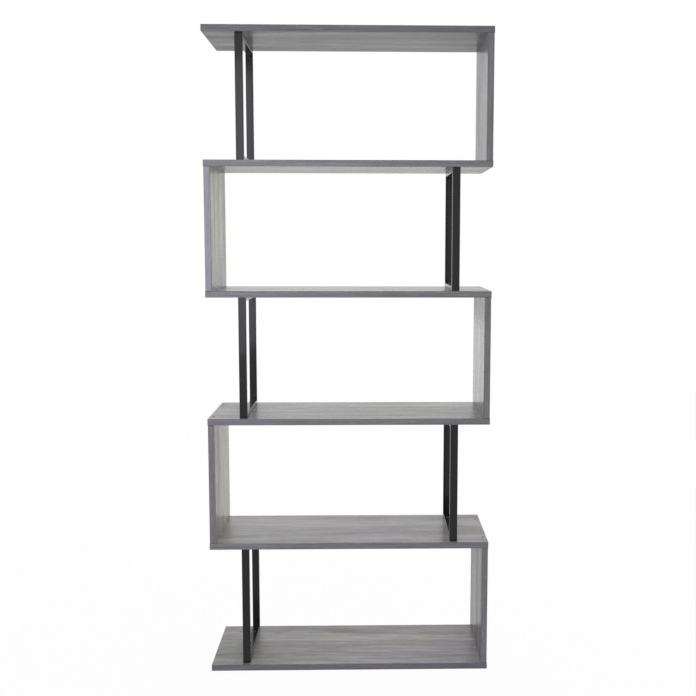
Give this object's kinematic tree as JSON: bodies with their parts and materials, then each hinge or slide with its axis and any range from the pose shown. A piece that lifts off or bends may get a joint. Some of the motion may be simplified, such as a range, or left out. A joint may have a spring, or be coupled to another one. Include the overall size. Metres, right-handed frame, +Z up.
{
  "type": "zigzag bookshelf",
  "caption": "Open zigzag bookshelf: grey oak boards held apart by side panels and black tube frames that change sides from tier to tier.",
  "frame": {"origin": "middle of the underside of the base board, on the floor", "axes": "+X along the boards, to the right seen from the front, +Y from the front to the wall, +Z up"},
  "size_m": [0.8, 0.24, 1.828],
  "materials": {
    "grey_oak_board": "matt melamine with a grey oak grain, along the boards and up the side panels",
    "black_powder_coat": "semi-gloss black powder coat",
    "zinc_plated_screw": "bright zinc plate",
    "black_screw": "black zinc plate"
  },
  "bodies": {
    "root": {"top_board": "grey_oak_board", "second_board": "grey_oak_board", "third_board": "grey_oak_board", "fourth_board": "grey_oak_board", "fifth_board": "grey_oak_board", "base_board": "grey_oak_board", "side_panel_1_right": "grey_oak_board", "side_panel_2_left": "grey_oak_board", "side_panel_3_right": "grey_oak_board", "side_panel_4_left": "grey_oak_board", "side_panel_5_right": "grey_oak_board", "tube_frame_1_left": "black_powder_coat", "tube_frame_2_right": "black_powder_coat", "tube_frame_3_left": "black_powder_coat", "tube_frame_4_right": "black_powder_coat", "tube_frame_5_left": "black_powder_coat", "panel_screw_1_top_front": "zinc_plated_screw", "panel_screw_1_top_rear": "zinc_plated_screw", "panel_screw_1_bottom_front": "zinc_plated_screw", "panel_screw_1_bottom_rear": "zinc_plated_screw", "panel_screw_2_top_front": "zinc_plated_screw", "panel_screw_2_top_rear": "zinc_plated_screw", "panel_screw_2_bottom_front": "zinc_plated_screw", "panel_screw_2_bottom_rear": "zinc_plated_screw", "panel_screw_3_top_front": "zinc_plated_screw", "panel_screw_3_top_rear": "zinc_plated_screw", "panel_screw_3_bottom_front": "zinc_plated_screw", "panel_screw_3_bottom_rear": "zinc_plated_screw", "panel_screw_4_top_front": "zinc_plated_screw", "panel_screw_4_top_rear": "zinc_plated_screw", "panel_screw_4_bottom_front": "zinc_plated_screw", "panel_screw_4_bottom_rear": "zinc_plated_screw", "panel_screw_5_top_front": "zinc_plated_screw", "panel_screw_5_top_rear": "zinc_plated_screw", "panel_screw_5_bottom_front": "zinc_plated_screw", "panel_screw_5_bottom_rear": "zinc_plated_screw", "frame_screw_1_top_front": "black_screw", "frame_screw_1_top_rear": "black_screw", "frame_screw_1_bottom_front": "black_screw", "frame_screw_1_bottom_rear": "black_screw", "frame_screw_2_top_front": "black_screw", "frame_screw_2_top_rear": "black_screw", "frame_screw_2_bottom_front": "black_screw", "frame_screw_2_bottom_rear": "black_screw", "frame_screw_3_top_front": "black_screw", "frame_screw_3_top_rear": "black_screw", "frame_screw_3_bottom_front": "black_screw", "frame_screw_3_bottom_rear": "black_screw", "frame_screw_4_top_front": "black_screw", "frame_screw_4_top_rear": "black_screw", "frame_screw_4_bottom_front": "black_screw", "frame_screw_4_bottom_rear": "black_screw", "frame_screw_5_top_front": "black_screw", "frame_screw_5_top_rear": "black_screw", "frame_screw_5_bottom_front": "black_screw", "frame_screw_5_bottom_rear": "black_screw"}
  },
  "joints": []
}
